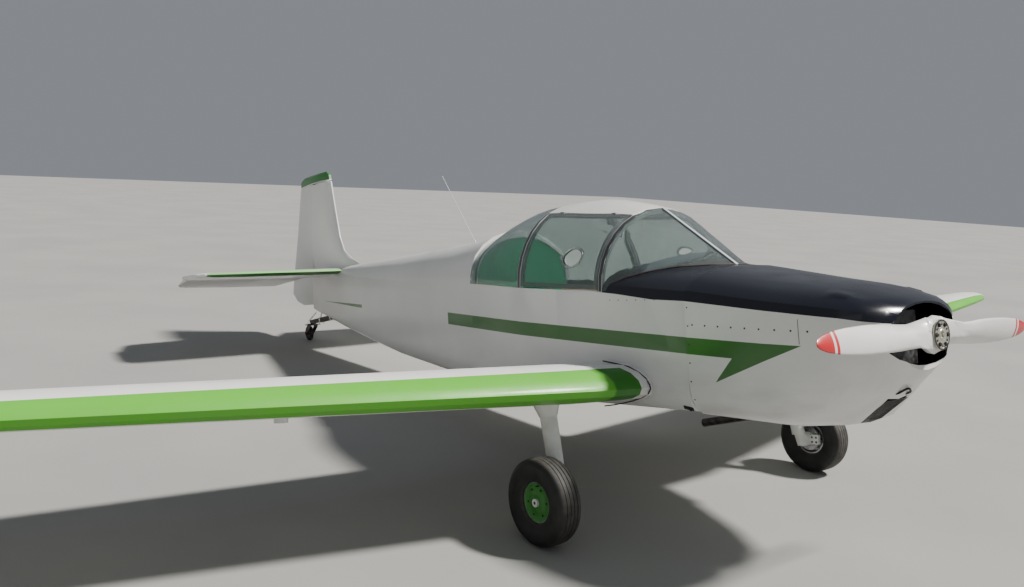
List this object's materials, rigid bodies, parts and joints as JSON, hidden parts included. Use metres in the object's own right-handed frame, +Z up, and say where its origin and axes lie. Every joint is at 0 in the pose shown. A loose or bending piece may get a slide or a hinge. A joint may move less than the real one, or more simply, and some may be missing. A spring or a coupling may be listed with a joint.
{
  "type": "light aircraft",
  "caption": "Low-wing light aircraft on a tail-wheel undercarriage, with a bubble cabin, opening doors, working control surfaces and a propeller.",
  "frame": {"origin": "on the ground, at the centre of the bounding box's base", "axes": "+X to port along the span, -Y towards the nose, +Z up; the aircraft stands on its gear with its nose up by ten degrees"},
  "size_m": [10.5128, 6.93, 1.7662],
  "materials": {
    "white_paint": "semi-gloss white paint over doped fabric and ply",
    "dark_paint": "gloss blue-black paint",
    "tyre_rubber": "worn rubber",
    "clear_glazing": "clear acrylic sheet",
    "seat_cloth": "woven seat cloth",
    "panel_black": "matt black",
    "green_trim": "green trim cloth",
    "engine_metal": "oily cast metal",
    "bare_aluminium": "bare, slightly dull",
    "dark_steel": "dark, worn"
  },
  "bodies": {
    "airframe": {"fuselage_tub": "white_paint", "front_deck": "dark_paint", "rear_fuselage": "white_paint", "cabin_rear_panel": "green_trim", "firewall": "bare_aluminium", "cowl_upper": "dark_paint", "cowl_lower": "white_paint", "engine_block": "engine_metal", "front_arch": "bare_aluminium", "rear_arch": "bare_aluminium", "roof_panel": "white_paint", "rear_window": "clear_glazing", "windscreen_left": "clear_glazing", "windscreen_right": "clear_glazing", "windscreen_post": "white_paint", "instrument_panel": "panel_black", "seat_cushion_left": "seat_cloth", "seat_cushion_right": "seat_cloth", "seat_back_left": "seat_cloth", "seat_back_right": "seat_cloth", "control_stick_left": "dark_steel", "control_stick_right": "dark_steel", "wing_left": "white_paint", "wing_right": "white_paint", "tailplane": "white_paint", "fin": "white_paint", "gear_leg_left": "white_paint", "gear_leg_right": "white_paint", "exhaust_pipe": "dark_steel", "antenna": "dark_steel", "tail_spring": "dark_steel"},
    "propeller": {"propeller": "white_paint", "hub_plate": "bare_aluminium"},
    "left_wheel": {"tyre_left": "tyre_rubber", "wheel_left": "bare_aluminium"},
    "right_wheel": {"tyre_right": "tyre_rubber", "wheel_right": "bare_aluminium"},
    "tailwheel_fork": {"tailwheel_fork": "dark_steel"},
    "tailwheel": {"tailwheel_tyre": "tyre_rubber", "tailwheel_hub": "bare_aluminium"},
    "rudder": {"rudder": "white_paint"},
    "elevator": {"elevator_left": "white_paint", "elevator_right": "white_paint"},
    "aileron_left": {"aileron_left": "white_paint"},
    "aileron_right": {"aileron_right": "white_paint"},
    "flap_left": {"flap_left": "white_paint"},
    "flap_right": {"flap_right": "white_paint"},
    "door_left": {"door_frame_left": "bare_aluminium", "door_glass_left": "clear_glazing"},
    "door_right": {"door_frame_right": "bare_aluminium", "door_glass_right": "clear_glazing"}
  },
  "joints": [
    {"name": "propeller_spin", "type": "hinge", "parent": "airframe", "child": "propeller", "pos_m": [0, -3.45903, 1.21], "axis": [0, -0.9848, 0.1736], "continuous": true},
    {"name": "left_wheel_spin", "type": "hinge", "parent": "airframe", "child": "left_wheel", "pos_m": [1.14, -2.14206, 0.21926], "axis": [1, 0, 0], "continuous": true},
    {"name": "right_wheel_spin", "type": "hinge", "parent": "airframe", "child": "right_wheel", "pos_m": [-1.14, -2.14206, 0.21926], "axis": [1, 0, 0], "continuous": true},
    {"name": "tailwheel_steer", "type": "hinge", "parent": "airframe", "child": "tailwheel_fork", "pos_m": [0, 2.97397, 0.19], "axis": [0, 0, 1], "range_deg": [-30, 30]},
    {"name": "tailwheel_spin", "type": "hinge", "parent": "tailwheel_fork", "child": "tailwheel", "pos_m": [0, 3.04798, 0.075], "axis": [1, 0, 0], "continuous": true},
    {"name": "rudder_hinge", "type": "hinge", "parent": "airframe", "child": "rudder", "pos_m": [0, 2.90592, 0.38216], "axis": [0, 0.0927, 0.9957], "range_deg": [-25, 25]},
    {"name": "elevator_hinge", "type": "hinge", "parent": "airframe", "child": "elevator", "pos_m": [0, 2.8593, 0.70517], "axis": [1, 0, 0], "range_deg": [-8, 37]},
    {"name": "aileron_left_hinge", "type": "hinge", "parent": "airframe", "child": "aileron_left", "pos_m": [2.41731, -1.10005, 0.64189], "axis": [0.9913, 0.1276, 0.0329], "range_deg": [-20, 20]},
    {"name": "aileron_right_hinge", "type": "hinge", "parent": "airframe", "child": "aileron_right", "pos_m": [-2.41731, -1.10005, 0.64189], "axis": [0.9913, -0.1276, -0.0329], "range_deg": [-20, 20]},
    {"name": "flap_left_hinge", "type": "hinge", "parent": "airframe", "child": "flap_left", "pos_m": [0.68988, -1.33005, 0.58637], "axis": [0.9907, 0.1319, 0.0318], "range_deg": [-35, 0]},
    {"name": "flap_right_hinge", "type": "hinge", "parent": "airframe", "child": "flap_right", "pos_m": [-0.68988, -1.33005, 0.58637], "axis": [0.9907, -0.1319, -0.0318], "range_deg": [-35, 0]},
    {"name": "door_left_hinge", "type": "hinge", "parent": "airframe", "child": "door_left", "pos_m": [0.23, -1.72696, 1.61742], "axis": [-0.0378, -0.9974, 0.0607], "range_deg": [0, 75]},
    {"name": "door_right_hinge", "type": "hinge", "parent": "airframe", "child": "door_right", "pos_m": [-0.23, -1.72696, 1.61742], "axis": [-0.0378, 0.9974, -0.0607], "range_deg": [0, 75]}
  ],
  "couplings": [
    {"joint": "aileron_right_hinge", "follows": "aileron_left_hinge", "ratio": -1},
    {"joint": "flap_right_hinge", "follows": "flap_left_hinge", "ratio": 1}
  ]
}
